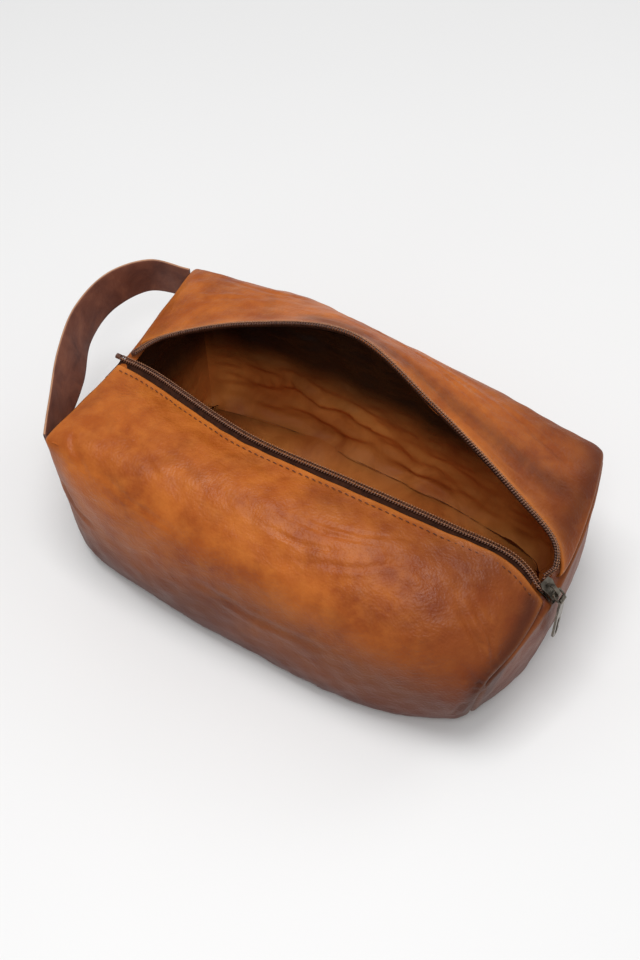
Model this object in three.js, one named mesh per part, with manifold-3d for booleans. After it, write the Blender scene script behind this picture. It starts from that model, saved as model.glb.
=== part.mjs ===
// Leather shaving kit bag: a boxed wash bag about 250 x 138 x 98 mm with a zip along the top.
// The zip is open. The back half of the mouth stands up, the slider waits at the right end.
// Frame: millimetres, origin in the middle of the flat base, +X along the zip towards the slider,
// +Y towards the back, +Z up. A leather strap handle bows out of the left end.
import * as THREE from 'three';
import Module from 'manifold-3d';
import { mergeVertices } from 'three/addons/utils/BufferGeometryUtils.js';

const wasm = await Module();
wasm.setup();

// ---- driving dimensions -------------------------------------------------------------------
const LEATHER = 1.5; // thickness of the body leather
const BASE_LEATHER = 1.6; // thickness of the base, which stiffens it
const LINING = 0.6; // thickness of the satin lining
const SEAM = 2.2; // how far a panel's edge stays inside its neighbour's outer face
const JOIN_GAP = 0.35; // clearance between touching pieces
const TAPE = 0.7; // thickness of the zip tape
const TAPE_UNDERLAP = 0.05; // share of a panel's height that covers the tape
const COIL = { width: 2.6, height: 2.2 }; // one nylon coil
const STRAP = { thickness: 2 };
const SLIDER = {
  place: [133, -8.5, 83.5],
  slope: 34, // degrees that the closing direction climbs from the level
  yaw: 168, // degrees from +X to the closing direction, seen from above
  length: 10.5, width: 8, closedWidth: 6.4, plate: 0.9, gap: 3,
};
const CROWN = { width: 2, length: 7.6, height: 3.6, bar: 0.8 };
const RING = { length: 5.8, width: 6.6, wire: 0.8 };
const PULL = { length: 34, width: 5, thickness: 1.2, slot: [2, 15], knuckle: 1.25 };
// The ring and the tab hang off the slider's rear, in line with its travel.
const HANG = { yaw: 177.3, ring: -42, tab: -90 }; // degrees; ring and tab are angles from the level

// A station is one cut across a panel. Its points climb from the base edge over the lower wall,
// middle wall, upper wall, shoulder and middle of the top to the zip edge, then to the zip chain.
const ROWS = { shoulder: 4 / 7, zipEdge: 6 / 7 };
const FRONT = [
  [[-113, -58, 0], [-117, -63, 7], [-121, -67, 48], [-124.5, -69, 90], [-125.5, -69, 98],
    [-125, -38, 97], [-125.5, -6, 93.5], [-125.5, -1, 93.5]],
  [[-98, -63, 0], [-101, -70, 7], [-104, -74, 48], [-106, -74, 88], [-107, -65, 101],
    [-107, -37, 102], [-107, -7.5, 95.5], [-106, -2, 95.5]],
  [[-40, -69, 0], [-40, -77, 7], [-40, -81, 48], [-39, -77, 84], [-38, -63, 100],
    [-38, -42, 104.5], [-38, -20.5, 101.5], [-36, -15.5, 101]],
  [[25, -69, 0], [25, -77, 7], [25, -81, 48], [25, -76, 80], [25, -61, 95],
    [24, -40, 103], [22, -19.5, 103], [24, -14, 102]],
  [[78, -64, 0], [80, -72, 7], [82, -77, 44], [82, -73, 72], [81, -58, 89],
    [79, -36, 97], [77, -15, 99], [78, -9.8, 98.5]],
  [[106, -50, 0], [110, -58, 7], [116, -66, 34], [119, -64, 58], [119, -52, 76],
    [117, -32, 87], [113, -12, 94], [114, -7, 93.5]],
  [[114, -42, 0], [118, -49, 6], [123, -58, 30], [126, -61, 50], [127.5, -60, 60],
    [134, -38, 70], [135, -16, 81.5], [133, -11.5, 83.4]],
];
const BACK = [
  [[-113, 56, 0], [-117, 62, 7], [-122, 67, 48], [-125, 69, 88], [-126, 70, 98],
    [-124.5, 40, 98], [-121.5, 10, 97], [-119.5, 4.5, 96]],
  [[-98, 60, 0], [-101, 67, 7], [-104, 72, 48], [-106, 74, 86], [-107, 72, 101],
    [-106, 46, 110], [-104, 15, 110], [-103, 10.5, 112]],
  [[-55, 66, 0], [-56, 74, 7], [-58, 77, 48], [-60, 78, 86], [-61, 77, 104],
    [-61, 57, 121], [-60, 29, 131], [-59, 25, 134]],
  [[-5, 66, 0], [-5, 74, 7], [-5, 78, 48], [-5, 78, 86], [-5, 75, 106],
    [-5, 58, 127.5], [-5, 39, 144], [-5, 35, 148]],
  [[50, 66, 0], [50, 73, 7], [50, 76, 48], [50, 77, 86], [50, 74, 104],
    [49, 55, 119.5], [47, 30, 130.5], [46, 26.5, 134.5]],
  [[96, 60, 0], [100, 66, 7], [104, 70, 48], [106, 71, 86], [107, 71, 102],
    [106, 45, 111], [102, 15.5, 113.5], [101, 12, 116.5]],
  [[107.5, 56, 0], [112, 62.5, 7], [115.5, 67, 48], [117.5, 69.5, 86], [118.5, 71, 100.5],
    [124, 41, 104.5], [128, 8.5, 100.5], [128.5, 4, 102.5]],
  [[113, 50, 0], [118, 56, 7], [122, 62, 48], [124, 67, 85], [125.5, 69.5, 98],
    [134.5, 34, 94], [137, 0, 86], [133.5, -5.5, 85.2]],
];
// The end panels run from the front corner to the back corner, base edge to top seam.
const corner = (station) => station.slice(0, 5);
const RIGHT_END = [
  corner(FRONT.at(-1)),
  [[123, -20, 0], [128, -22, 8], [132, -27, 30], [134, -32, 52], [134, -38, 69]],
  [[126, 5, 0], [131, 3, 8], [135.5, 0, 35], [137, -4, 58], [137, -6, 73]],
  [[123, 32, 0], [128, 33, 8], [132, 34, 40], [134.5, 34, 70], [134, 34, 93]],
  corner(BACK.at(-1)),
];
const LEFT_END = [
  corner(FRONT[0]),
  [[-117, -28, 0], [-121, -30, 7], [-126, -33, 48], [-126.5, -35, 80], [-125, -38, 96]],
  [[-118, 0, 0], [-122, 0, 7], [-127.5, 0, 45], [-127, 1, 75], [-124.5, 2, 92]],
  [[-117, 28, 0], [-121, 30, 7], [-126, 34, 48], [-126.5, 38, 80], [-124.5, 40, 97]],
  corner(BACK[0]),
];
// The handle strap's upper and lower edges, from its sewn front end round to its back end. The
// first and last spans are the sewn ends, the rest swings.
const STRAP_TOP = [[-126.8, -66, 97.5], [-129.6, -61, 98], [-137.5, -47, 98.5],
  [-154.5, -17, 98.5], [-165, 14, 98.5], [-163.5, 44, 98.5], [-150, 62.5, 98.5],
  [-131, 67, 98], [-127.2, 67.8, 98]];
const STRAP_BOTTOM = [[-126.8, -63, 76], [-129, -55, 75.5], [-133, -42, 75.5],
  [-143.5, -14, 75], [-157, 12, 75], [-160, 39, 75], [-150.5, 60, 75.5],
  [-131, 66, 76], [-127.2, 66.6, 76]];

// ---- materials ----------------------------------------------------------------------------
const finish = (color, roughness, metalness = 0) =>
  new THREE.MeshStandardMaterial({ color, roughness, metalness });
const tan = () => finish(0xa9632f, 0.5);
const strapBrown = () => finish(0x74422f, 0.6);
const satin = () => finish(0x6b3f22, 0.4);
const darkTape = () => finish(0x2e1d16, 0.8);
const nylon = () => finish(0x4a2f22, 0.35);
const gunmetal = () => finish(0x6d6a64, 0.3, 0.9);

// ---- geometry helpers ---------------------------------------------------------------------
const vec = (point) => new THREE.Vector3(...point);
const spline = (points) => new THREE.CatmullRomCurve3(points, false, 'centripetal');
const range = (count) => Array.from({ length: count }, (_, i) => i);
const between = (low, high, count) => range(count + 1).map((i) => low + ((high - low) * i) / count);

// Point on the lofted surface: v climbs each station, u runs from the first station to the last.
function loft(stations) {
  const climbs = stations.map((station) => spline(station.map(vec)));
  return (u, v) => spline(climbs.map((climb) => climb.getPoint(v))).getPoint(u);
}

// Outward normal of a lofted surface, for a panel whose outside is on the given side.
function normalAt(surface, u, v, side) {
  const step = 1e-3;
  const low = (share) => Math.max(share - step, 0);
  const high = (share) => Math.min(share + step, 1);
  const along = surface(high(u), v).sub(surface(low(u), v));
  const across = surface(u, high(v)).sub(surface(u, low(v)));
  return along.cross(across).normalize().multiplyScalar(side);
}

// Columns of {point, normal} over the shares u and v of a surface.
function patch(surface, [u0, u1, columns], [v0, v1, rows], side = 1) {
  return between(u0, u1, columns).map((u) => between(v0, v1, rows).map((v) => (
    { point: surface(u, v), normal: normalAt(surface, u, v, side) })));
}

function closedMesh(vertices, triangles) {
  const geometry = new THREE.BufferGeometry();
  geometry.setAttribute('position',
    new THREE.Float32BufferAttribute(vertices.flatMap((v) => [v.x, v.y, v.z]), 3));
  geometry.setIndex(triangles.flat());
  geometry.computeVertexNormals();
  return geometry;
}

// A sheet of the given thickness whose outer face lies inset below the patch.
function sheet(columns, thickness, inset = 0, side = 1) {
  const rows = columns[0].length;
  const layer = (depth) => columns.flat()
    .map(({ point, normal }) => point.clone().addScaledVector(normal, -depth));
  const vertices = [...layer(inset), ...layer(inset + thickness)];
  const half = columns.length * rows;
  const at = (i, j, inner) => i * rows + j + (inner ? half : 0);
  const triangles = [];
  const quad = (a, b, c, d) => {
    triangles.push(...(side > 0 ? [[a, b, c], [a, c, d]] : [[a, c, b], [a, d, c]]));
  };
  const lastColumn = columns.length - 1;
  const lastRow = rows - 1;
  for (let i = 0; i < lastColumn; i += 1) {
    for (let j = 0; j < lastRow; j += 1) {
      quad(at(i, j), at(i + 1, j), at(i + 1, j + 1), at(i, j + 1));
      quad(at(i, j, true), at(i, j + 1, true), at(i + 1, j + 1, true), at(i + 1, j, true));
    }
    quad(at(i, 0), at(i, 0, true), at(i + 1, 0, true), at(i + 1, 0));
    quad(at(i, lastRow), at(i + 1, lastRow), at(i + 1, lastRow, true), at(i, lastRow, true));
  }
  for (let j = 0; j < lastRow; j += 1) {
    quad(at(0, j), at(0, j + 1), at(0, j + 1, true), at(0, j, true));
    quad(at(lastColumn, j), at(lastColumn, j, true), at(lastColumn, j + 1, true),
      at(lastColumn, j + 1));
  }
  return closedMesh(vertices, triangles);
}

// A bar with an oval section swept along points; normals give the direction of its height.
function ovalBar(points, normals, width, height, sides = 6) {
  const vertices = points.flatMap((point, i) => {
    const ahead = points[Math.min(i + 1, points.length - 1)].clone()
      .sub(points[Math.max(i - 1, 0)]).normalize();
    const wide = ahead.clone().cross(normals[i]).normalize();
    const tall = wide.clone().cross(ahead).normalize();
    return range(sides).map((k) => {
      const angle = (2 * Math.PI * k) / sides;
      return point.clone().addScaledVector(wide, (width / 2) * Math.cos(angle))
        .addScaledVector(tall, (height / 2) * Math.sin(angle));
    });
  });
  const triangles = [];
  const lastRing = (points.length - 1) * sides;
  for (let ring = 0; ring < lastRing; ring += sides) {
    range(sides).forEach((k) => {
      const next = (k + 1) % sides;
      triangles.push([ring + k, ring + sides + next, ring + next],
        [ring + k, ring + sides + k, ring + sides + next]);
    });
  }
  range(sides - 2).forEach((k) => {
    triangles.push([0, k + 1, k + 2], [lastRing, lastRing + k + 2, lastRing + k + 1]);
  });
  return closedMesh(vertices, triangles);
}

function extrude(outline, depth, holes = []) {
  const shape = new THREE.Shape(outline.map(([x, y]) => new THREE.Vector2(x, y)));
  shape.holes = holes.map((hole) => new THREE.Path(hole.map(([x, y]) => new THREE.Vector2(x, y))));
  return new THREE.ExtrudeGeometry(shape, { depth, bevelEnabled: false, curveSegments: 6 });
}

// Outline of a rectangle with rounded corners; with no radius given its ends are half circles.
function rounded(length, width, centre = [0, 0], radius = width / 2, steps = 4) {
  const corners = [[1, -1, -90], [1, 1, 0], [-1, 1, 90], [-1, -1, 180]];
  return corners.flatMap(([sx, sy, start]) => range(steps + 1).map((i) => {
    const angle = THREE.MathUtils.degToRad(start + (90 * i) / steps);
    return [centre[0] + sx * (length / 2 - radius) + radius * Math.cos(angle),
      centre[1] + sy * (width / 2 - radius) + radius * Math.sin(angle)];
  }));
}

const rectangle = (x0, y0, x1, y1) => [[x0, y0], [x1, y0], [x1, y1], [x0, y1]];

function solid(geometry) {
  const bare = geometry.clone();
  bare.deleteAttribute('normal');
  bare.deleteAttribute('uv');
  const merged = mergeVertices(bare, 1e-4);
  return new wasm.Manifold(new wasm.Mesh({
    numProp: 3,
    vertProperties: new Float32Array(merged.attributes.position.array),
    triVerts: new Uint32Array(merged.index.array),
  }));
}

function fromSolid(manifold) {
  const mesh = manifold.getMesh();
  const geometry = new THREE.BufferGeometry();
  geometry.setAttribute('position', new THREE.BufferAttribute(mesh.vertProperties, 3));
  geometry.setIndex(new THREE.BufferAttribute(mesh.triVerts, 1));
  geometry.computeVertexNormals();
  return geometry;
}

const bag = new THREE.Group();
function add(name, geometry, material, parent = bag) {
  const mesh = new THREE.Mesh(geometry, material);
  mesh.name = name;
  parent.add(mesh);
  return mesh;
}

// ---- leather panels -----------------------------------------------------------------------
const front = loft(FRONT);
const back = loft(BACK);
const leftEnd = loft(LEFT_END);
const rightEnd = loft(RIGHT_END);

function panel(name, surface, side, uSpan, vSpan, inset = 0) {
  add(name, sheet(patch(surface, uSpan, vSpan, side), LEATHER, inset, side), tan());
}

function leatherPanels() {
  const foldGap = 0.004; // share of the panel's height left open along the back fold
  const tuck = 0.4; // the end panels lie this far inside the corner binding
  panel('front_panel', front, 1, [0, 1, 30], [0, ROWS.zipEdge, 13]);
  panel('back_panel', back, -1, [0, 1, 22], [0, ROWS.shoulder - foldGap, 7]);
  panel('back_flap', back, -1, [0, 1, 42], [ROWS.shoulder + foldGap, ROWS.zipEdge, 5]);
  panel('left_end_panel', leftEnd, -1, [0.02, 0.98, 10], [0.02, 0.97, 8], tuck);
  panel('right_end_panel', rightEnd, 1, [0.025, 0.98, 10], [0.02, 0.97, 8], tuck);
}

// The base panel's outline follows the panels' lower edges, drawn in by the seam.
function basePanel() {
  const frontEdge = between(0, 1, 14).map((u) => front(u, 0));
  const backEdge = between(1, 0, 14).map((u) => back(u, 0));
  const rightEdge = between(0.1, 0.9, 6).map((u) => rightEnd(u, 0));
  const leftEdge = between(0.9, 0.1, 6).map((u) => leftEnd(u, 0));
  const outline = [...frontEdge, ...rightEdge, ...backEdge, ...leftEdge].map((point) => {
    const reach = Math.hypot(point.x, point.y);
    return [point.x * (1 - SEAM / reach), point.y * (1 - SEAM / reach)];
  });
  return extrude(outline, BASE_LEATHER);
}

// ---- lining -------------------------------------------------------------------------------
// The lining hangs a little inside the leather, so its panels are the same lofts drawn in.
const DRAW_IN = { x: 0.968, y: 0.955, z: 0.955, lift: 2.6 };
const drawnIn = (surface) => (u, v) => {
  const point = surface(u, v);
  return new THREE.Vector3(point.x * DRAW_IN.x, point.y * DRAW_IN.y,
    point.z * DRAW_IN.z + DRAW_IN.lift);
};

function liningPanel(name, surface, side, uSpan, vSpan, inset = 0) {
  add(name, sheet(patch(drawnIn(surface), uSpan, vSpan, side), LINING, inset, side), satin());
}

function lining() {
  const hem = ROWS.zipEdge - TAPE_UNDERLAP - 0.015; // the lining is sewn to the tape's edge
  const tuck = 0.4;
  liningPanel('lining_front', front, 1, [0.012, 0.988, 20], [0.02, hem, 9]);
  liningPanel('lining_back', back, -1, [0.012, 0.988, 16], [0.02, ROWS.shoulder - 0.01, 6]);
  liningPanel('lining_back_flap', back, -1, [0.012, 0.988, 22], [ROWS.shoulder + 0.01, hem, 4]);
  liningPanel('lining_left_end', leftEnd, -1, [0.03, 0.97, 8], [0.04, 0.93, 6], tuck);
  liningPanel('lining_right_end', rightEnd, 1, [0.03, 0.97, 8], [0.04, 0.93, 6], tuck);
  const outline = [
    ...between(0.03, 0.97, 12).map((u) => drawnIn(front)(u, 0)),
    ...between(0.97, 0.03, 12).map((u) => drawnIn(back)(u, 0)),
  ].map((point) => [point.x * 0.985, point.y * 0.965]);
  const base = extrude(outline, LINING);
  base.translate(0, 0, DRAW_IN.lift - JOIN_GAP);
  add('lining_base', base, satin());
}

// ---- zip ----------------------------------------------------------------------------------
// Shares of a panel's length from its top stop to where its coil goes into the slider.
const ZIP_SPAN = { start: 0.006, front: 0.92, back: 0.94 };

function zipHalf(name, surface, side, end) {
  const steps = 44;
  const sunk = LEATHER + JOIN_GAP; // the tape lies just under the leather
  const heights = [ROWS.zipEdge - TAPE_UNDERLAP, ROWS.zipEdge, 1];
  const columns = between(ZIP_SPAN.start, end, steps).map((u) => heights.map((v) => (
    { point: surface(u, v), normal: normalAt(surface, u, v, side) })));
  // The tape stops short of the coil, and rises towards it once clear of the leather's edge.
  const tape = columns.map(([hidden, rim, chain]) => {
    const out = chain.point.clone().sub(rim.point);
    const shy = out.length() - COIL.width / 2 - JOIN_GAP;
    const sink = ({ point, normal }, depth) =>
      ({ point: point.clone().addScaledVector(normal, -depth), normal });
    const edge = { point: rim.point.clone().addScaledVector(out.normalize(), shy),
      normal: chain.normal };
    return [sink(hidden, sunk), sink(rim, sunk), sink(edge, sunk * 0.6)];
  });
  const points = columns.map((column) => column[2].point);
  const normals = columns.map((column) => column[2].normal);
  add(`${name}_zip_tape`, sheet(tape, TAPE, 0, side), darkTape());
  add(`${name}_zip_coil`, ovalBar(points, normals, COIL.width, COIL.height), nylon());
  return { points, normals };
}

// A moulded nylon stop closes the coil's end like a short thicker length of it.
function topStop(name, { points, normals }) {
  const ahead = points[0].clone().sub(points[1]).normalize();
  const stops = [JOIN_GAP, JOIN_GAP + 0.8, JOIN_GAP + 2.2, JOIN_GAP + 3];
  const line = stops.map((reach) => points[0].clone().addScaledVector(ahead, reach));
  add(name, ovalBar(line, stops.map(() => normals[0]), COIL.width + 0.6, COIL.height + 0.5, 8),
    nylon());
}

// ---- slider, ring and pull ----------------------------------------------------------------
// A group whose +X points along the given yaw and slope, and whose +Y stays level.
function frameAt(place, yawDegrees, slopeDegrees) {
  const yaw = THREE.MathUtils.degToRad(yawDegrees);
  const slope = THREE.MathUtils.degToRad(slopeDegrees);
  const forward = new THREE.Vector3(Math.cos(yaw) * Math.cos(slope),
    Math.sin(yaw) * Math.cos(slope), Math.sin(slope));
  const across = new THREE.Vector3(0, 0, 1).cross(forward).normalize();
  const up = forward.clone().cross(across);
  const group = new THREE.Group();
  group.quaternion.setFromRotationMatrix(new THREE.Matrix4().makeBasis(forward, across, up));
  group.position.copy(place);
  bag.add(group);
  return group;
}

function sliderBody() {
  const { length, width, closedWidth, plate, gap } = SLIDER;
  const rear = -length / 2;
  const nose = length / 2;
  const outline = [[rear, -closedWidth / 2], [rear + 4, -closedWidth / 2], [nose - 2.5, -width / 2],
    [nose, -width / 2 + 1], [nose, width / 2 - 1], [nose - 2.5, width / 2],
    [rear + 4, closedWidth / 2], [rear, closedWidth / 2]];
  const place = (geometry, z) => geometry.translate(0, 0, z);
  const top = solid(place(extrude(outline, plate), gap / 2));
  const bottom = solid(place(extrude(outline, plate), -gap / 2 - plate));
  const post = solid(place(extrude(
    [[nose - 4, 0], [nose - 1.5, -0.8], [nose, -0.8], [nose, 0.8], [nose - 1.5, 0.8]],
    gap + plate), -(gap + plate) / 2));
  const lips = [-1, 1].flatMap((side) => [1, -1].map((up) => {
    const y = side * (closedWidth / 2 - 0.4);
    const z = up * (gap / 2 - 0.35);
    return solid(place(extrude(
      rectangle(rear, Math.min(y, y + side * 0.4), rear + 6, Math.max(y, y + side * 0.4)), 0.9),
      z - 0.45));
  }));
  return fromSolid(lips.reduce((body, lip) => body.add(lip), top.add(bottom).add(post)));
}

const plateTop = SLIDER.gap / 2 + SLIDER.plate;
const crownRear = -SLIDER.length / 2 + 0.3;

function crown() {
  const { length, height, bar, width } = CROWN;
  const foot = plateTop + JOIN_GAP;
  const arch = (inset) => [
    [crownRear + inset, foot], [crownRear + length - inset, foot],
    [crownRear + length - inset, foot + height * 0.45 - inset * 0.4],
    [crownRear + length - 2 - inset * 0.6, foot + height - inset],
    [crownRear + 1.2 + inset * 0.5, foot + height - inset],
    [crownRear + inset, foot + height - 0.9 - inset * 0.6],
  ];
  const outer = arch(0);
  const inner = arch(bar).reverse();
  // One open arch outline: up the outside, back down the inside.
  const outline = [outer[1], outer[2], outer[3], outer[4], outer[5], outer[0],
    inner[5], inner[0], inner[1], inner[2], inner[3], inner[4]];
  const geometry = extrude(outline, width);
  geometry.rotateX(Math.PI / 2);
  geometry.translate(0, width / 2, 0);
  return geometry;
}

const ringPivot = new THREE.Vector3(crownRear + CROWN.bar + 1.5, 0, plateTop + JOIN_GAP + 1.75);

function pullRing(parent) {
  const { length, width, wire } = RING;
  const geometry = extrude(rounded(length, width, [0, 0], 1.1), wire,
    [rounded(length - 2 * wire, width - 2 * wire, [0, 0], 0.4)]);
  geometry.translate(-(length / 2 - wire / 2), 0, -wire / 2);
  const mesh = add('pull_ring', geometry, gunmetal(), parent);
  mesh.rotation.y = THREE.MathUtils.degToRad(HANG.ring);
}

// The tab ends in a narrow knuckle that is curled round the ring's far bar.
function pullTab(parent) {
  const { length, width, thickness, slot, knuckle } = PULL;
  const knuckleWidth = RING.width - 2 * RING.wire - 2 * JOIN_GAP;
  const bore = RING.wire * 0.8 + 0.15;
  const neck = 3.2; // from the bar to the start of the full width
  const plate = extrude(rounded(length - neck, width, [-(length + neck) / 2, 0]), thickness,
    [rounded(slot[1], slot[0], [-(length - slot[1] / 2 - 2.2), 0])]);
  plate.translate(0, 0, -thickness / 2);
  const across = (geometry) => geometry.rotateX(Math.PI / 2).translate(0, knuckleWidth / 2, 0);
  const curl = across(extrude(rounded(2 * knuckle, 2 * knuckle), knuckleWidth));
  const shank = across(extrude(
    rectangle(-neck - 1.5, -thickness / 2, -knuckle + 0.3, thickness / 2), knuckleWidth));
  const hole = new THREE.CylinderGeometry(bore, bore, width, 12);
  const geometry = fromSolid(solid(plate).add(solid(curl)).add(solid(shank)).subtract(solid(hole)));
  const mesh = add('pull_tab', geometry, gunmetal(), parent);
  const ringTilt = THREE.MathUtils.degToRad(HANG.ring);
  const reach = RING.length - RING.wire;
  mesh.position.set(-reach * Math.cos(ringTilt), 0, reach * Math.sin(ringTilt));
  mesh.rotation.y = THREE.MathUtils.degToRad(HANG.tab);
}

// ---- handle -------------------------------------------------------------------------------
function handle() {
  const top = spline(STRAP_TOP.map(vec));
  const bottom = spline(STRAP_BOTTOM.map(vec));
  const surface = (u, v) => bottom.getPoint(u).lerp(top.getPoint(u), v);
  const span = 1 / (STRAP_TOP.length - 1);
  const gap = 0.0012;
  const piece = (from, to, steps) => sheet(patch(surface, [from, to, steps], [0, 1, 2], -1),
    STRAP.thickness, -STRAP.thickness / 2, -1);
  add('handle_end_front', piece(0, span - gap, 2), strapBrown());
  add('handle_strap', piece(span + gap, 1 - span - gap, 24), strapBrown());
  add('handle_end_back', piece(1 - span + gap, 1, 2), strapBrown());
}

// ---- the whole bag ------------------------------------------------------------------------
leatherPanels();
add('base_panel', basePanel(), tan());
lining();
const frontZip = zipHalf('front', front, 1, ZIP_SPAN.front);
const backZip = zipHalf('back', back, -1, ZIP_SPAN.back);
topStop('front_top_stop', frontZip);
topStop('back_top_stop', backZip);
const slider = frameAt(new THREE.Vector3(...SLIDER.place), SLIDER.yaw, SLIDER.slope);
slider.updateMatrixWorld();
const hang = frameAt(slider.localToWorld(ringPivot), HANG.yaw, 0);
add('slider_body', sliderBody(), gunmetal(), slider);
add('slider_crown', crown(), gunmetal(), slider);
pullRing(hang);
pullTab(hang);
const bottomStop = add('zip_bottom_stop', new THREE.BoxGeometry(1.8, 5, 2.6), gunmetal(), slider);
bottomStop.position.set(-SLIDER.length / 2 - 1.3, 0, -2);
handle();

export default bag;
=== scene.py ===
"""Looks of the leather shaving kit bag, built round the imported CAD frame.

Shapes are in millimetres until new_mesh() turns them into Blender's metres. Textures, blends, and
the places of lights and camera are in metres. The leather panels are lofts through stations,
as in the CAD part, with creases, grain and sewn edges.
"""
import math

import bpy
import numpy as np
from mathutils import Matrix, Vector


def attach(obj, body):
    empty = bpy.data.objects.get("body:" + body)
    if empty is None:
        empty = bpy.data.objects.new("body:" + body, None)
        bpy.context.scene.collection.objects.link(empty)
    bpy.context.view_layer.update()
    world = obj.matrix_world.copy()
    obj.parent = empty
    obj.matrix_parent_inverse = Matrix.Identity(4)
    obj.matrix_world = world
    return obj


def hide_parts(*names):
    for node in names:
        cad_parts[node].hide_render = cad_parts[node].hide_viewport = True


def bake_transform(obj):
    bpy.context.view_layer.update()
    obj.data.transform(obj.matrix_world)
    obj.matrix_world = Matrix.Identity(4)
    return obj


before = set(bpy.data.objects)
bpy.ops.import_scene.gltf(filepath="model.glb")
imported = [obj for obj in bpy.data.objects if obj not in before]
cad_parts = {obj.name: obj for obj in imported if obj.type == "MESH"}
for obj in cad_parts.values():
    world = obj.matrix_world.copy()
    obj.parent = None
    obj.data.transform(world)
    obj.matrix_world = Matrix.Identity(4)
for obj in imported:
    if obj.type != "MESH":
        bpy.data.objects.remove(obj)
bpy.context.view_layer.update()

# ---- sizes -----------------------------------------------------------------------------------
MM = 0.001
RIM_RADIUS = 1.1  # the folded leather edge along the zip
RIM_RETURN = 5.0  # leather that runs back under that edge
SEAM_RADIUS = 3.6  # how softly a panel turns into its seam
SEAM_TUCK = 3.0  # leather turned inside at a seam
TAPE_SINK = 1.7  # the tape lies this far under the leather
BASE_THICKNESS = 1.5
TAPE_THICKNESS = 0.6
BEVEL = 0.18  # rounding of the metal pieces' edges
STITCH = {"pitch": 3.7, "length": 2.4, "radius": 0.26, "from_rim": 3.2}
COIL = {"pitch": 1.45, "width": 4.0, "height": 2.1, "wire": 0.42}  # wire is a radius
COIL_SEWING = {"length": 1.15, "radius": 0.27, "off_middle": 1.05, "sink": 0.1}
CHAIN_END = {"front": 0.92, "back": 0.94}  # share of the length at which the slider begins
# The throat gives where a chain enters the slider: how far ahead of its middle and to one side.
SLIDER = {"place": (133, -8.5, 83.5), "slope": 34, "yaw": 168, "throat": ((5.6, 2.9), (1.0, 1.9))}
STRAP_THICKNESS = 2.0
BASE_SHRINK = (0.995, 0.985, 1)  # the base stays inside the walls' lower edges
LINING_SHRINK = (0.968, 0.955, 0.955)  # the lining hangs loose inside the leather
LINING_LIFT = 2.6  # clearance of the lining over the base, and behind the leather at its hem
FLOOR_CLOTH_HEIGHT = 3.4
RIM = 6 / 7  # share of a station's climb at which the leather ends and the zip begins

# A station climbs from the base edge over the lower wall, middle wall, upper wall, shoulder and
# middle of the top to the zip edge, then to the zip chain.
FRONT = [
    [(-113, -58, 0), (-117, -63, 7), (-121, -67, 48), (-124.5, -69, 90), (-125.5, -69, 98),
     (-125, -38, 97), (-125.5, -6, 93.5), (-125.5, -1, 93.5)],
    [(-98, -63, 0), (-101, -70, 7), (-104, -74, 48), (-106, -74, 88), (-107, -65, 101),
     (-107, -37, 102), (-107, -7.5, 95.5), (-106, -2, 95.5)],
    [(-40, -69, 0), (-40, -77, 7), (-40, -81, 48), (-39, -77, 84), (-38, -63, 100),
     (-38, -42, 104.5), (-38, -20.5, 101.5), (-36, -15.5, 101)],
    [(25, -69, 0), (25, -77, 7), (25, -81, 48), (25, -76, 80), (25, -61, 95),
     (24, -40, 103), (22, -19.5, 103), (24, -14, 102)],
    [(78, -64, 0), (80, -72, 7), (82, -77, 44), (82, -73, 72), (81, -58, 89),
     (79, -36, 97), (77, -15, 99), (78, -9.8, 98.5)],
    [(106, -50, 0), (110, -58, 7), (116, -66, 34), (119, -64, 58), (119, -52, 76),
     (117, -32, 87), (113, -12, 94), (114, -7, 93.5)],
    [(114, -42, 0), (118, -49, 6), (123, -58, 30), (126, -61, 50), (127.5, -60, 60),
     (134, -38, 70), (135, -16, 81.5), (133, -11.5, 83.4)],
]
BACK = [
    [(-113, 56, 0), (-117, 62, 7), (-122, 67, 48), (-125, 69, 88), (-126, 70, 98),
     (-124.5, 40, 98), (-121.5, 10, 97), (-119.5, 4.5, 96)],
    [(-98, 60, 0), (-101, 67, 7), (-104, 72, 48), (-106, 74, 86), (-107, 72, 101),
     (-106, 46, 110), (-104, 15, 110), (-103, 10.5, 112)],
    [(-55, 66, 0), (-56, 74, 7), (-58, 77, 48), (-60, 78, 86), (-61, 77, 104),
     (-61, 57, 121), (-60, 29, 131), (-59, 25, 134)],
    [(-5, 66, 0), (-5, 74, 7), (-5, 78, 48), (-5, 78, 86), (-5, 75, 106),
     (-5, 58, 127.5), (-5, 39, 144), (-5, 35, 148)],
    [(50, 66, 0), (50, 73, 7), (50, 76, 48), (50, 77, 86), (50, 74, 104),
     (49, 55, 119.5), (47, 30, 130.5), (46, 26.5, 134.5)],
    [(96, 60, 0), (100, 66, 7), (104, 70, 48), (106, 71, 86), (107, 71, 102),
     (106, 45, 111), (102, 15.5, 113.5), (101, 12, 116.5)],
    [(107.5, 56, 0), (112, 62.5, 7), (115.5, 67, 48), (117.5, 69.5, 86), (118.5, 71, 100.5),
     (124, 41, 104.5), (128, 8.5, 100.5), (128.5, 4, 102.5)],
    [(113, 50, 0), (118, 56, 7), (122, 62, 48), (124, 67, 85), (125.5, 69.5, 98),
     (134.5, 34, 94), (137, 0, 86), (133.5, -5.5, 85.2)],
]
RIGHT_END = [
    FRONT[-1][:5],
    [(123, -20, 0), (128, -22, 8), (132, -27, 30), (134, -32, 52), (134, -38, 70)],
    [(126, 5, 0), (131, 3, 8), (135.5, 0, 35), (137, -4, 60), (137.5, -8, 79)],
    [(123, 32, 0), (128, 33, 8), (132, 34, 40), (134.5, 34, 70), (134.5, 34, 94)],
    BACK[-1][:5],
]
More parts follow.
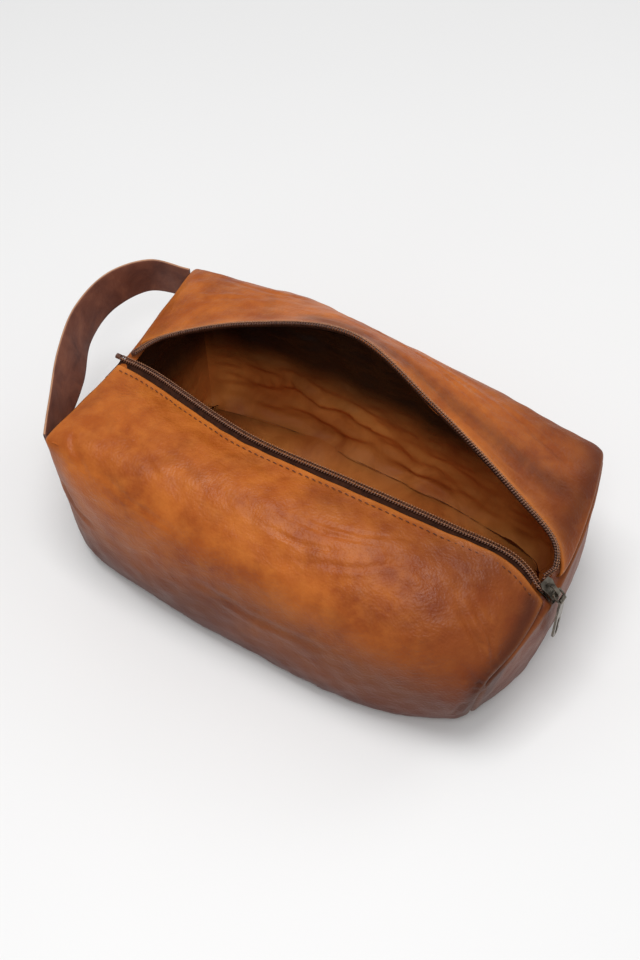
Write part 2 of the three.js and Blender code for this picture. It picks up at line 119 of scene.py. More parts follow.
LEFT_END = [
    FRONT[0][:5],
    [(-117, -28, 0), (-121, -30, 7), (-126, -33, 48), (-126.5, -35, 80), (-125, -38, 97)],
    [(-118, 0, 0), (-122, 0, 7), (-127.5, 0, 45), (-127, 1, 75), (-124.5, 2, 93)],
    [(-117, 28, 0), (-121, 30, 7), (-126, 34, 48), (-126.5, 38, 80), (-124.5, 40, 98)],
    BACK[0][:5],
]
STRAP_TOP = [(-126.8, -66, 97.5), (-129.6, -61, 98), (-137.5, -47, 98.5), (-154.5, -17, 98.5),
             (-165, 14, 98.5), (-163.5, 44, 98.5), (-150, 62.5, 98.5), (-131, 67, 98),
             (-127.2, 67.8, 98)]
STRAP_BOTTOM = [(-126.8, -63, 76), (-129, -55, 75.5), (-133, -42, 75.5), (-143.5, -14, 75),
                (-157, 12, 75), (-160, 39, 75), (-150.5, 60, 75.5), (-131, 66, 76),
                (-127.2, 66.6, 76)]

# Creases in the leather, each a line of (u, v) shares on its panel with a half width and a depth
# in millimetres.
FRONT_CREASES = [
    ([(0.21, 0.51), (0.27, 0.46), (0.34, 0.44)], 1.5, 0.7),
    ([(0.19, 0.70), (0.25, 0.64), (0.29, 0.58)], 1.6, 0.6),
    ([(0.12, 0.62), (0.17, 0.54), (0.21, 0.45)], 1.5, 0.5),
    ([(0.42, 0.607), (0.49, 0.604), (0.56, 0.65)], 1.3, 0.6),
    ([(0.43, 0.66), (0.52, 0.67), (0.59, 0.71)], 1.1, 0.6),
    ([(0.485, 0.546), (0.58, 0.62), (0.655, 0.725)], 1.5, 0.7),
    ([(0.49, 0.69), (0.56, 0.714), (0.635, 0.779)], 1.1, 0.5),
    ([(0.74, 0.66), (0.79, 0.60), (0.87, 0.55)], 1.7, 1.2),
    ([(0.763, 0.69), (0.81, 0.64), (0.93, 0.62)], 1.4, 1.0),
    ([(0.80, 0.50), (0.86, 0.46), (0.93, 0.44)], 1.9, 0.9),
    ([(0.97, 0.53), (0.93, 0.50), (0.90, 0.49)], 1.4, 1.2),
    ([(0.84, 0.24), (0.85, 0.30), (0.87, 0.36)], 1.5, 1.1),
    ([(0.05, 0.35), (0.12, 0.30), (0.2, 0.29)], 2.4, 0.9),
    ([(0.35, 0.33), (0.45, 0.30), (0.58, 0.32)], 2.8, 0.8),
]
BACK_CREASES = [
    ([(0.487, 0.78), (0.615, 0.81), (0.753, 0.80)], 1.5, 0.8),
    ([(0.518, 0.714), (0.643, 0.76), (0.795, 0.77)], 1.3, 0.8),
    ([(0.373, 0.65), (0.497, 0.686), (0.624, 0.70)], 1.6, 0.8),
    ([(0.548, 0.83), (0.651, 0.84), (0.737, 0.83)], 1.1, 0.5),
    ([(0.60, 0.66), (0.686, 0.69), (0.789, 0.70)], 1.4, 0.8),
    ([(0.103, 0.70), (0.171, 0.74), (0.257, 0.72)], 1.5, 0.6),
    ([(0.171, 0.62), (0.257, 0.66), (0.343, 0.64)], 2.0, 0.7),
    ([(0.086, 0.33), (0.214, 0.29), (0.343, 0.31)], 2.4, 0.8),
    ([(0.471, 0.36), (0.60, 0.31), (0.729, 0.33)], 2.4, 0.9),
]
# Folds in the back lining, slack where the wall meets the floor.
LINING_FOLDS = [
    ([(0.17, 0.20), (0.28, 0.245), (0.32, 0.225), (0.37, 0.24), (0.42, 0.21), (0.465, 0.22)],
     3.4, 3.0),
    ([(0.20, 0.155), (0.30, 0.19), (0.36, 0.17), (0.44, 0.18)], 4.0, 2.2),
    ([(0.42, 0.145), (0.52, 0.165), (0.58, 0.15)], 3.2, 2.6),
    ([(0.47, 0.20), (0.55, 0.19), (0.62, 0.16)], 3.6, 1.8),
]
# Painted shade and a few stains: (u, v) paths with a reach in millimetres and a darkness.
FRONT_SHADES = [
    ([(0.955, 0.82), (0.966, 0.74), (0.978, 0.65), (0.975, 0.44), (0.965, 0.15)], 6.0, 0.95),
    ([(0.50, 0.78), (0.62, 0.795), (0.78, 0.79)], 12, 0.35),
    ([(0.30, 0.20), (0.45, 0.33), (0.58, 0.30), (0.80, 0.28)], 19, 0.42),
    ([(0.02, 0.45), (0.05, 0.15)], 10, 0.3),
]
BACK_SHADES = [
    ([(0.36, 0.80), (0.435, 0.804), (0.576, 0.793), (0.651, 0.786), (0.78, 0.76)], 6.5, 0.6),
    ([(0.88, 0.80), (0.90, 0.70), (0.93, 0.60)], 9, 0.6),
    ([(0.55, 0.60), (0.75, 0.60)], 9, 0.3),
]
RIGHT_SHADES = [
    ([(0.03, 0.10), (0.03, 0.60), (0.04, 0.95)], 11, 0.85),
    ([(0.10, 0.97), (0.50, 0.97), (0.90, 0.97)], 8, 0.5),
]
LEFT_SHADES = [([(0.2, 0.95), (0.5, 0.90), (0.8, 0.95)], 16, 0.3)]


# ---- surfaces --------------------------------------------------------------------------------
def spline(points, shares):
    """Centripetal Catmull-Rom curves through points[stop, curve], read at the given shares."""
    points = np.asarray(points, float)
    padded = np.concatenate([[2 * points[0] - points[1]], points, [2 * points[-1] - points[-2]]])
    at = np.clip(shares, 0, 1) * (len(points) - 1)
    stop = np.minimum(at.astype(int), len(points) - 2)
    t = (at - stop)[:, None, None]
    a, b, c, d = (padded[stop + k] for k in range(4))

    def step(p, q):
        return np.sqrt(np.linalg.norm(q - p, axis=-1, keepdims=True)) + 1e-9

    ab, bc, cd = step(a, b), step(b, c), step(c, d)
    out = ((b - a) / ab - (c - a) / (ab + bc)) * bc + (c - b)
    into = ((d - c) / cd - (d - b) / (bc + cd)) * bc + (c - b)
    return ((2 * t**3 - 3 * t**2 + 1) * b + (t**3 - 2 * t**2 + t) * out
            + (3 * t**2 - 2 * t**3) * c + (t**3 - t**2) * into)


def loft(stations, us, vs):
    """Grid of points [u, v] on the surface lofted through the stations."""
    climbs = spline(np.asarray(stations, float).transpose(1, 0, 2), np.asarray(vs))
    return spline(climbs.transpose(1, 0, 2), np.asarray(us))


def curve(points, shares):
    """Points on one spline."""
    return spline(np.asarray(points, float)[:, None], np.asarray(shares))[:, 0]


def unit(vectors):
    """The vectors at length one."""
    return vectors / (np.linalg.norm(vectors, axis=-1, keepdims=True) + 1e-12)


def normals(grid, side):
    """Outward normals of a grid; side is -1 where u x v points into the bag."""
    return unit(np.cross(np.gradient(grid, axis=0), np.gradient(grid, axis=1))) * side


def climb_shares(counts, end):
    """Shares with counts[k] rows in the span after point k, up to the share end."""
    spans = len(counts)
    rows = [np.linspace(k / spans, (k + 1) / spans, n, endpoint=False)
            for k, n in enumerate(counts)]
    shares = np.concatenate(rows)
    return np.append(shares[shares < end - 1e-6], end)


def run(grid, axis):
    """Distance in millimetres along an axis of the grid, from its first row."""
    steps = np.linalg.norm(np.diff(grid, axis=axis), axis=-1)
    start = np.zeros_like(np.take(steps, [0], axis=axis))
    return np.concatenate([start, np.cumsum(steps, axis=axis)], axis=axis)


def smooth(low, high, value):
    """Eased step from 0 at low to 1 at high."""
    t = np.clip((value - low) / (high - low), 0, 1)
    return t * t * (3 - 2 * t)


# ---- relief ----------------------------------------------------------------------------------
def undulation(points, wavelength, seed, stretch=(1, 1, 1)):
    """Soft seeded bumps, about -1 to 1, with the given wavelength in millimetres."""
    rng = np.random.default_rng(seed)
    total = np.zeros(points.shape[:-1])
    count = 9
    for _ in range(count):
        direction = unit(rng.normal(size=3)) * np.asarray(stretch)
        turns = points @ direction * (2 * math.pi / (wavelength * rng.uniform(0.7, 1.5)))
        total += np.sin(turns + rng.uniform(0, 2 * math.pi))
    return total / math.sqrt(count)


def path_distance(grid, stations, path):
    """Distance from each grid point to a (u, v) path on its panel, and the share along it."""
    us, vs = np.array(path).T
    shares = np.linspace(0, 1, 28)
    stops = np.linspace(0, 1, len(path))
    line = np.stack([loft(stations, [u], [v])[0, 0] for u, v
                     in zip(np.interp(shares, stops, us), np.interp(shares, stops, vs))])
    away = np.linalg.norm(grid[..., None, :] - line, axis=-1)
    return away.min(-1), shares[away.argmin(-1)]


def crease(grid, stations, path, width, depth):
    """Depth field of one crease, deepest half way along and fading to its ends."""
    away, share = path_distance(grid, stations, path)
    fade = np.maximum(np.sin(math.pi * share), 0) ** 0.6
    valley = np.exp(-((away / width) ** 2))
    shoulders = 0.45 * np.exp(-(((away - 2.1 * width) / (0.9 * width)) ** 2))
    return depth * fade * (valley - shoulders)


def shading(grid, stations, shades):
    """Darkness of each grid point, from 0 to 1, round the given paths."""
    total = np.zeros(grid.shape[:2])
    for path, reach, strength in shades:
        away, _ = path_distance(grid, stations, path)
        total += strength * np.exp(-((away / reach) ** 2))
    return np.clip(total, 0, 1)


def seam_drop(distance):
    """How far a panel has turned inwards at a distance from its sewn edge."""
    inside = np.clip(SEAM_RADIUS - distance, 0, SEAM_RADIUS)
    return SEAM_RADIUS - np.sqrt(np.maximum(SEAM_RADIUS**2 - inside**2, 0))


def puckers(along, pitch, reach, distance):
    """Small gathers that the stitches pull into the leather beside a seam."""
    wave = 0.5 + 0.5 * np.sin(along * (2 * math.pi / pitch) + np.sin(along / 9.0))
    return wave * np.exp(-distance / reach)


# ---- meshes ----------------------------------------------------------------------------------
def new_mesh(name, points, faces, materials):
    """Smooth-shaded object from points in millimetres."""
    mesh = bpy.data.meshes.new(name)
    mesh.from_pydata((np.asarray(points) * MM).tolist(), [], [list(map(int, f)) for f in faces])
    mesh.update()
    mesh.polygons.foreach_set("use_smooth", [True] * len(mesh.polygons))
    obj = bpy.data.objects.new(name, mesh)
    bpy.context.scene.collection.objects.link(obj)
    for material in materials:
        mesh.materials.append(material)
    return obj


def grid_faces(columns, rows, wrap_rows=False, flip=False):
    """Quads of a columns x rows grid, closed round its rows if wrap_rows."""
    last = rows if wrap_rows else rows - 1
    i, j = np.meshgrid(np.arange(columns - 1), np.arange(last), indexing="ij")
    i, j = i.ravel(), j.ravel()
    k = (j + 1) % rows
    quads = np.stack([i * rows + j, (i + 1) * rows + j, (i + 1) * rows + k, i * rows + k], 1)
    return quads[:, ::-1] if flip else quads


def sheet_object(name, grid, side, material, **fields):
    """Object from a grid of points; each field reaches the material as an attribute."""
    faces = grid_faces(*grid.shape[:2], flip=side < 0)
    obj = new_mesh(name, grid.reshape(-1, 3), faces, [material])
    for key, values in fields.items():
        layer = obj.data.attributes.new(key, "FLOAT", "POINT")
        layer.data.foreach_set("value", np.asarray(values, np.float32).ravel())
    return obj


def wire(path, wides, talls, radius, sides):
    """Points of a round wire swept along path."""
    angles = np.linspace(0, 2 * math.pi, sides, endpoint=False)
    across, up = np.cos(angles) * radius, np.sin(angles) * radius
    return (path[:, None] + across[None, :, None] * wides[:, None]
            + up[None, :, None] * talls[:, None])


def capped(columns, rows):
    """Faces of a closed swept bar, with its two end caps."""
    faces = [list(f) for f in grid_faces(columns, rows, wrap_rows=True)]
    faces.append(list(range(rows))[::-1])
    faces.append([(columns - 1) * rows + k for k in range(rows)])
    return faces


# ---- materials -------------------------------------------------------------------------------
class Shader:
    """A Principled material with short calls for its node network."""

    def __init__(self, name, **values):
        self.material = bpy.data.materials.new(name)
        self.material.use_nodes = True
        self.tree = self.material.node_tree
        self.surface = self.tree.nodes["Principled BSDF"]
        for socket, value in values.items():
            self.surface.inputs[socket.replace("_", " ")].default_value = value
        self.place = self.node("ShaderNodeTexCoord").outputs["Object"]

    def node(self, kind, inputs=None, **settings):
        """New node; an input that is a socket is linked, any other value is set."""
        made = self.tree.nodes.new(kind)
        for key, value in settings.items():
            setattr(made, key, value)
        for key, value in (inputs or {}).items():
            if isinstance(value, bpy.types.NodeSocket):
                self.tree.links.new(value, made.inputs[key])
            else:
                made.inputs[key].default_value = value
        return made

    def stretched(self, scale, rotation=(0, 0, 0)):
        """Object coordinates turned and scaled, for marks that run one way."""
        return self.node("ShaderNodeMapping", {"Vector": self.place, "Scale": scale,
                                               "Rotation": rotation}).outputs["Vector"]

    def noise(self, scale, detail=3.0, roughness=0.5, vector=None, distortion=0.0):
        return self.node("ShaderNodeTexNoise", {
            "Vector": vector or self.place, "Scale": scale, "Detail": detail,
            "Roughness": roughness, "Distortion": distortion}).outputs["Fac"]

    def ramp(self, value, *stops):
        """Color ramp through (position, color or number) stops."""
        made = self.node("ShaderNodeValToRGB", {"Fac": value})
        elements = made.color_ramp.elements
        while len(elements) < len(stops):
            elements.new(0.5)
        for element, (position, color) in zip(elements, stops):
            element.position = position
            element.color = color if isinstance(color, tuple) else (color, color, color, 1)
        return made.outputs["Color"]

    def mix(self, factor, a, b):
        made = self.node("ShaderNodeMix", data_type="RGBA")
        for socket, value in ((0, factor), (6, a), (7, b)):
            if isinstance(value, bpy.types.NodeSocket):
                self.tree.links.new(value, made.inputs[socket])
            else:
                made.inputs[socket].default_value = value
        return made.outputs[2]

    def multiply(self, a, b):
        return self.node("ShaderNodeMath", {0: a, 1: b}, operation="MULTIPLY").outputs[0]

    def attribute(self, name):
        return self.node("ShaderNodeAttribute", attribute_name=name).outputs["Fac"]

    def axis(self, name):
        return self.node("ShaderNodeSeparateXYZ", {"Vector": self.place}).outputs[name]

    def bump(self, height, strength, distance, before=None):
        inputs = {"Height": height, "Strength": strength, "Distance": distance}
        if before is not None:
            inputs["Normal"] = before
        return self.node("ShaderNodeBump", inputs).outputs["Normal"]

    def set(self, socket, value):
        self.tree.links.new(value, self.surface.inputs[socket])


def srgb(red, green, blue):
    """Blender's linear color for screen values from 0 to 255."""
    def linear(c):
        c /= 255
        return c / 12.92 if c <= 0.04045 else ((c + 0.055) / 1.055) ** 2.4
    return (linear(red), linear(green), linear(blue), 1)


def body_leather():
    """Oiled pull-up leather: mottled tan, stained, painted shade low, painted edge highlight."""
    s = Shader("body_leather", Specular_IOR_Level=0.2)
    large = s.noise(16, 4, 0.55, distortion=0.6)
    base = s.ramp(large, (0.34, srgb(134, 60, 17)), (0.50, srgb(160, 79, 24)),
                  (0.66, srgb(182, 97, 34)))
    fine = s.noise(95, 5, 0.6)
    base = s.mix(s.ramp(fine, (0.38, 0.0), (0.72, 0.4)), base, srgb(208, 124, 50))
    blotch = s.noise(34, 4, 0.62, distortion=1.2)
    base = s.mix(s.ramp(blotch, (0.52, 0.0), (0.70, 0.26)), base, srgb(108, 50, 20))
    stain = s.noise(13, 5, 0.6, s.stretched((1, 1, 1), (0.7, 0.1, 0.4)), 0.9)
    base = s.mix(s.ramp(stain, (0.56, 0.0), (0.70, 0.18)), base, srgb(100, 46, 24))
    # Painted shade: darker low down, where the walls turn from the light.
    low = s.ramp(s.axis("Z"), (0.012, 0.97), (0.09, 0.0))
    base = s.mix(low, base, srgb(72, 22, 6))
    # Painted shade: darker towards the right end, away from the light.
    right = s.ramp(s.axis("X"), (0.05, 0.0), (0.12, 0.62))
    base = s.mix(right, base, srgb(92, 36, 14))
    streak = s.noise(42, 4, 0.55, s.stretched((0.5, 2.6, 2.0), (0.3, 0.5, 0.7)), 0.8)
    base = s.mix(s.ramp(streak, (0.60, 0.0), (0.80, 0.22)), base, srgb(200, 122, 54))
    # Painted highlight along the seam ridges and the zip rim.
    base = s.mix(s.multiply(s.attribute("edge"), 0.55), base, srgb(206, 124, 52))
    # Painted shade along each panel's shade paths.
    base = s.mix(s.multiply(s.attribute("shade"), 0.85), base, srgb(64, 28, 14))
    s.set("Base Color", base)
    s.set("Roughness", s.ramp(s.noise(60, 3), (0.3, 0.36), (0.7, 0.5)))
    wrinkles = s.noise(85, 4, 0.6, s.stretched((1.0, 1.7, 1.4), (0.4, 0.2, 0.6)), 0.9)
    mask = s.ramp(s.noise(20, 2), (0.38, 0.15), (0.60, 1.0))
    first = s.bump(s.multiply(wrinkles, mask), 0.65, 0.0013)
    cells = s.node("ShaderNodeTexVoronoi", {
        "Vector": s.place, "Scale": 800.0, "Randomness": 1.0}, feature="SMOOTH_F1").outputs[0]
    second = s.bump(cells, 0.45, 0.0005, first)
    s.set("Normal", s.bump(s.noise(1900, 2), 0.12, 0.0002, second))
    return s.material


def strap_leather(cut_edge=False):
    """Darker red-brown strap; its raw cut edge is paler and rougher."""
    name = "strap_cut_edge" if cut_edge else "strap_leather"
    s = Shader(name, Specular_IOR_Level=0.35)
    tone = s.noise(70, 5, 0.65, distortion=0.5)
    if cut_edge:
        base = s.ramp(tone, (0.3, srgb(150, 104, 76)), (0.7, srgb(190, 144, 110)))
    else:
        base = s.ramp(tone, (0.3, srgb(84, 46, 36)), (0.55, srgb(112, 66, 50)),
                      (0.8, srgb(134, 84, 62)))
    s.set("Base Color", base)
    s.set("Roughness", s.ramp(s.noise(90, 3), (0.3, 0.5), (0.7, 0.7)))
    fibres = s.noise(420, 4, 0.6, s.stretched((1, 1, 2.5)))
    s.set("Normal", s.bump(fibres, 0.3, 0.0004))
    return s.material


def lining_satin():
    """Golden-brown satin with a soft gloss, fine crumples and a fine weave."""
    s = Shader("lining_satin", Specular_IOR_Level=0.22)
    tone = s.noise(26, 4, 0.6, distortion=0.8)
    base = s.ramp(tone, (0.3, srgb(176, 92, 38)), (0.7, srgb(226, 142, 70)))
    # Painted shade: the shade attribute takes the satin towards near black.
    base = s.mix(s.attribute("shade"), base, srgb(22, 13, 11))
    s.set("Base Color", base)
    s.set("Roughness", s.ramp(s.noise(45, 3), (0.3, 0.48), (0.7, 0.62)))
    first = s.bump(s.noise(60, 4, 0.55, distortion=1.6), 0.5, 0.0015)
    weave = s.node("ShaderNodeTexWave", {"Vector": s.stretched((1, 1, 1), (0.2, 0.3, 0.785)),
                                         "Scale": 1600.0}).outputs["Fac"]
    s.set("Normal", s.bump(weave, 0.06, 0.0001, first))
    return s.material


def zip_tape():
    """Dark brown woven tape."""
    s = Shader("zip_tape", Specular_IOR_Level=0.1)
    s.set("Base Color", s.ramp(s.noise(300, 3), (0.3, srgb(40, 20, 12)), (0.7, srgb(62, 34, 22))))
    s.set("Roughness", s.ramp(s.noise(200, 2), (0.3, 0.7), (0.7, 0.88)))
    weave = s.node("ShaderNodeTexWave", {"Vector": s.stretched((1, 1, 1), (0.1, 0.2, 0.6)),
                                         "Scale": 900.0}).outputs["Fac"]
    s.set("Normal", s.bump(weave, 0.5, 0.0003))
    return s.material


def plain(name, dark, light, rough, scale=160, bump=0.1, depth=0.0002, **values):
    """Small parts: two tones, uneven gloss and a light bump."""
    s = Shader(name, **values)
    s.set("Base Color", s.ramp(s.noise(scale, 3), (0.3, dark), (0.7, light)))
    s.set("Roughness", s.ramp(s.noise(scale * 1.7, 3), (0.3, rough[0]), (0.7, rough[1])))
    s.set("Normal", s.bump(s.noise(scale * 4, 3), bump, depth))
    return s.material


LEATHER = body_leather()
STRAP_LEATHER = strap_leather()
STRAP_EDGE = strap_leather(cut_edge=True)
SATIN = lining_satin()
TAPE = zip_tape()
NYLON = plain("zip_coil", srgb(66, 38, 28), srgb(104, 66, 48), (0.32, 0.45), 500)
SEWING = plain("coil_sewing", srgb(126, 82, 56), srgb(176, 124, 88), (0.5, 0.65), 900, 0.4)
THREAD = plain("stitch_thread", srgb(66, 28, 14), srgb(96, 44, 22), (0.5, 0.7), 900, 0.5)
GUNMETAL = plain("gunmetal", srgb(92, 86, 78), srgb(150, 142, 130), (0.24, 0.4), 260, 0.15,
                 Metallic=1.0)

# ---- leather panels --------------------------------------------------------------------------
CLIMB_ROWS = [9, 30, 30, 13, 22, 20, 4]  # grid rows in each span of a station's climb


def leather_panel(name, stations, side, us, vs, seed, rim, creases=(), shades=()):
    """One leather panel with its relief, its seam edges turned in and, at a rim, folded over."""
    grid = loft(stations, us, vs)
    out = normals(grid, side)
    along, up = run(grid, 0), run(grid, 1)
    seams = [along, along[-1:] - along, up]
    if not rim:
        seams.append(up[:, -1:] - up)
    nearest = np.minimum.reduce(seams)
    calm = smooth(0, 9, nearest)
    relief = 0.6 * undulation(grid, 46, seed) * calm
    relief += 0.2 * undulation(grid, 13, seed + 1, (1, 1.6, 1)) * calm
    for line in creases:
        relief += crease(grid, stations, *line)
    relief += 0.6 * puckers(along, 11.0, 5.0, up)
    for seam in seams:
        relief += seam_drop(seam)
    grid = grid - out * relief[..., None]
    # Painted highlight on the seam ridges, and below it, along the zip rim.
    edge = 0.5 * np.exp(-((nearest - 2.2) / 1.3) ** 2)
    if rim:
        edge = edge + 0.8 * np.exp(-((up[:, -1:] - up) / 2.5))
        grid, edge = folded_rim(grid, out, edge)
    else:
        grid, edge = tucked(grid, out, edge, -1)
    grid, edge = tucked(grid, out, edge, 0)
    # The shade field carries the painted shade of the panel's shade paths.
    return sheet_object(name, grid, side, LEATHER, edge=np.clip(edge, 0, 1),
                        shade=shading(grid, stations, shades))


def tucked(grid, out, edge, row):
    """Adds one row that carries the sheet inwards at its first or last row."""
    step = grid[:, row] - out[:, row] * SEAM_TUCK
    low = np.zeros((len(grid), 1))
    if row == 0:
        return np.concatenate([step[:, None], grid], 1), np.concatenate([low, edge], 1)
    return np.concatenate([grid, step[:, None]], 1), np.concatenate([edge, low], 1)


def folded_rim(grid, out, edge):
    """Adds rows that carry the zip edge round a half circle and back under the leather."""
    ahead = unit(grid[:, -1] - grid[:, -2])
    up = out[:, -1]
    last = grid[:, -1]
    rows = [last + RIM_RADIUS * (math.sin(a) * ahead + (math.cos(a) - 1) * up)
            for a in np.linspace(0.35, math.pi, 7)]
    rows.append(rows[-1] - RIM_RETURN * ahead)
    added = np.stack(rows, 1)
    # The painted rim highlight fades round the fold.
    tone = np.repeat(edge[:, -1:], len(rows), 1) * np.linspace(1, 0, len(rows))
    return np.concatenate([grid, added], 1), np.concatenate([edge, tone], 1)


def build_leather():
    """The four leather panels; the back one, which runs up into the mouth's flap, stays unattached.
    """
    us = np.linspace(0, 1, 230)
    vs = climb_shares(CLIMB_ROWS, RIM)
    end_us, end_vs = np.linspace(0, 1, 90), np.linspace(0, 1, 80)
    front = leather_panel("leather_front", FRONT, 1, us, vs, 3, True, FRONT_CREASES,
                          FRONT_SHADES)
    back = leather_panel("leather_back", BACK, -1, us, vs, 8, True, BACK_CREASES, BACK_SHADES)
    left = leather_panel("leather_left_end", LEFT_END, -1, end_us, end_vs, 21, False,
                         shades=LEFT_SHADES)
    right = leather_panel("leather_right_end", RIGHT_END, 1, end_us, end_vs, 27, False,
                          shades=RIGHT_SHADES)
    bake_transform(back)
    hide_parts("back_panel", "back_flap")
    for obj, node in ((front, "front_panel"), (left, "left_end_panel"),
                      (right, "right_end_panel")):
        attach(obj, "bag")
        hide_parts(node)


def footprint(us, rows, shrink):
    """Grid inside the panels' lower edges, bowed out at both ends like the end panels."""
    front = loft(FRONT, us, [0.0])[:, 0]
    back = loft(BACK, us, [0.0])[:, 0]
    share = rows[:, None]
    grid = front[:, None] * (1 - share) + back[:, None] * share
    reach = smooth(0.75, 1.0, np.abs(2 * us - 1))[:, None, None]
    for end, stations, half in ((0, LEFT_END, us < 0.5), (-1, RIGHT_END, us >= 0.5)):
        wall = loft(stations, rows, [0.0])[:, 0]
        grid += reach * half[:, None, None] * (wall - grid[end])
    return grid * shrink


def build_base():
    """Flat base, its outline the panels' lower edges."""
    grid = footprint(np.linspace(0.01, 0.99, 90), np.linspace(0, 1, 24), BASE_SHRINK)
    grid[..., 2] = 0.05 + 0.12 * np.abs(undulation(grid, 50, 5))
    # Painted shade over the whole base.
    dark = np.full(grid.shape[:2], 0.35)
    obj = sheet_object("leather_base", grid, -1, LEATHER, edge=0 * dark, shade=dark)
    thick = obj.modifiers.new("thickness", "SOLIDIFY")
    thick.thickness = BASE_THICKNESS * MM
    thick.offset = -1
    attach(obj, "bag")
    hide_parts("base_panel")


# ---- lining ----------------------------------------------------------------------------------
LINING_ROWS = [8, 34, 26, 10, 14, 12, 1]


def lining_cloth(name, stations, side, us, vs, seed, hem, dark, folds=()):
    """The panel's loft drawn in, rejoining the leather at the hem, with crumples and folds."""
    loose = loft(stations, us, vs)
    out = normals(loose, side)
    join = smooth(hem - 0.10, hem, np.asarray(vs))[None, :]
    grid = ((loose * LINING_SHRINK + (0, 0, LINING_LIFT)) * (1 - join[..., None])
            + (loose - out * LINING_LIFT) * join[..., None])
    inwards = 1.1 * undulation(grid, 34, seed) + 0.5 * undulation(grid, 15, seed + 1, (1, 1, 1.8))
    inwards += 1.3 * (1 - np.abs(undulation(grid, 42, seed + 2)))
    for line in folds:
        inwards += crease(loose, stations, *line)
    along = run(grid, 0)
    calm = smooth(0, 10, np.minimum(along, along[-1:] - along)) * (1 - join)
    grid = grid - out * (inwards * calm + 0.8)[..., None]
    # Painted shade that rises with height up the wall, to the given most.
    low, high, most = dark
    return sheet_object(name, grid, side, SATIN, shade=most * smooth(low, high, grid[..., 2]))


def floor_cloth():
    """The lining's floor, which lies slack on the base."""
    grid = footprint(np.linspace(0.004, 0.996, 150), np.linspace(0, 1, 70), LINING_SHRINK)
    bumps = 1.4 * undulation(grid, 36, 85) + 1.8 * (1 - np.abs(undulation(grid, 48, 86)))
    grid[..., 2] = FLOOR_CLOTH_HEIGHT + np.maximum(bumps, -0.8)
    # Painted shade towards both ends of the floor.
    far = smooth(60, 115, np.abs(grid[..., 0]))
    return sheet_object("lining_base_cloth", grid, 1, SATIN, shade=0.45 * far)


def build_lining():
    """The lining's four walls and floor; the back wall, which runs up into the flap, stays
    unattached.
    """
    us = np.linspace(0.004, 0.996, 170)
    hem = RIM - 0.02
    wall = climb_shares(LINING_ROWS, hem)
    ends = np.linspace(0, 1, 60), np.linspace(0, 1, 56)
    # Each last tuple is the painted shade: from and to heights in millimetres, and its most.
    front = lining_cloth("lining_front_cloth", FRONT, 1, us, wall, 41, hem, (20, 80, 0.6))
    back = lining_cloth("lining_back_cloth", BACK, -1, us, wall, 52, hem, (26, 62, 0.96),
                        LINING_FOLDS)
    left = lining_cloth("lining_left_cloth", LEFT_END, -1, *ends, 63, 1.0, (10, 60, 0.95))
    right = lining_cloth("lining_right_cloth", RIGHT_END, 1, *ends, 74, 1.0, (10, 80, 0.6))
    floor = floor_cloth()
    for obj, node in ((front, "lining_front"), (left, "lining_left_end"),
                      (right, "lining_right_end"), (floor, "lining_base")):
        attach(obj, "bag")
        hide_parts(node)
    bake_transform(back)
    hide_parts("lining_back", "lining_back_flap")


# ---- zip -------------------------------------------------------------------------------------
def slider_axes():
    """Closing direction, across and out of the slider, from its slope and yaw."""
    slope, yaw = math.radians(SLIDER["slope"]), math.radians(SLIDER["yaw"])
    closing = np.array([math.cos(yaw) * math.cos(slope), math.sin(yaw) * math.cos(slope),
                        math.sin(slope)])
    across = unit(np.cross((0, 0, 1), closing))
    return closing, across, np.cross(closing, across)


def chain(stations, side, end, count):
    """Evenly spaced chain points with their outward normals, ending inside the slider."""
    us = np.linspace(0.004, end, 160)
    band = loft(stations, us, [RIM, 0.93, 1.0])
    closing, across, out = slider_axes()
    inner = [SLIDER["place"] + closing * ahead + across * side * off
             for ahead, off in SLIDER["throat"]]
    path = np.concatenate([band[:, 2], inner])
    ups = np.concatenate([normals(band, side)[:, 2], [out, out]])
    distance = np.concatenate([[0], np.cumsum(np.linalg.norm(np.diff(path, axis=0), axis=1))])
    even = np.linspace(0, distance[-1], count)
    line = np.stack([np.interp(even, distance, path[:, k]) for k in range(3)], 1)
    raised = np.stack([np.interp(even, distance, ups[:, k]) for k in range(3)], 1)
    return line, unit(raised), distance[-1]


def coil_object(name, stations, side, end):
    """A nylon coil: one wire wound along the chain."""
    _, _, length = chain(stations, side, end, 400)
    turns = int(length / COIL["pitch"])
    steps = 12
    line, up, _ = chain(stations, side, end, turns * steps)
    ahead = unit(np.gradient(line, axis=0))
    wide = unit(np.cross(ahead, up))
    angle = np.arange(len(line)) * (2 * math.pi / steps)
    path = (line + wide * (np.cos(angle) * (COIL["width"] / 2 - COIL["wire"]))[:, None]
            + up * (np.sin(angle) * (COIL["height"] / 2 - COIL["wire"]))[:, None])
    forward = unit(np.gradient(path, axis=0))
    level = unit(np.cross(forward, up))
    sides = 5
    points = wire(path, level, unit(np.cross(level, forward)), COIL["wire"], sides)
    return new_mesh(name, points.reshape(-1, 3), capped(len(path), sides), [NYLON])


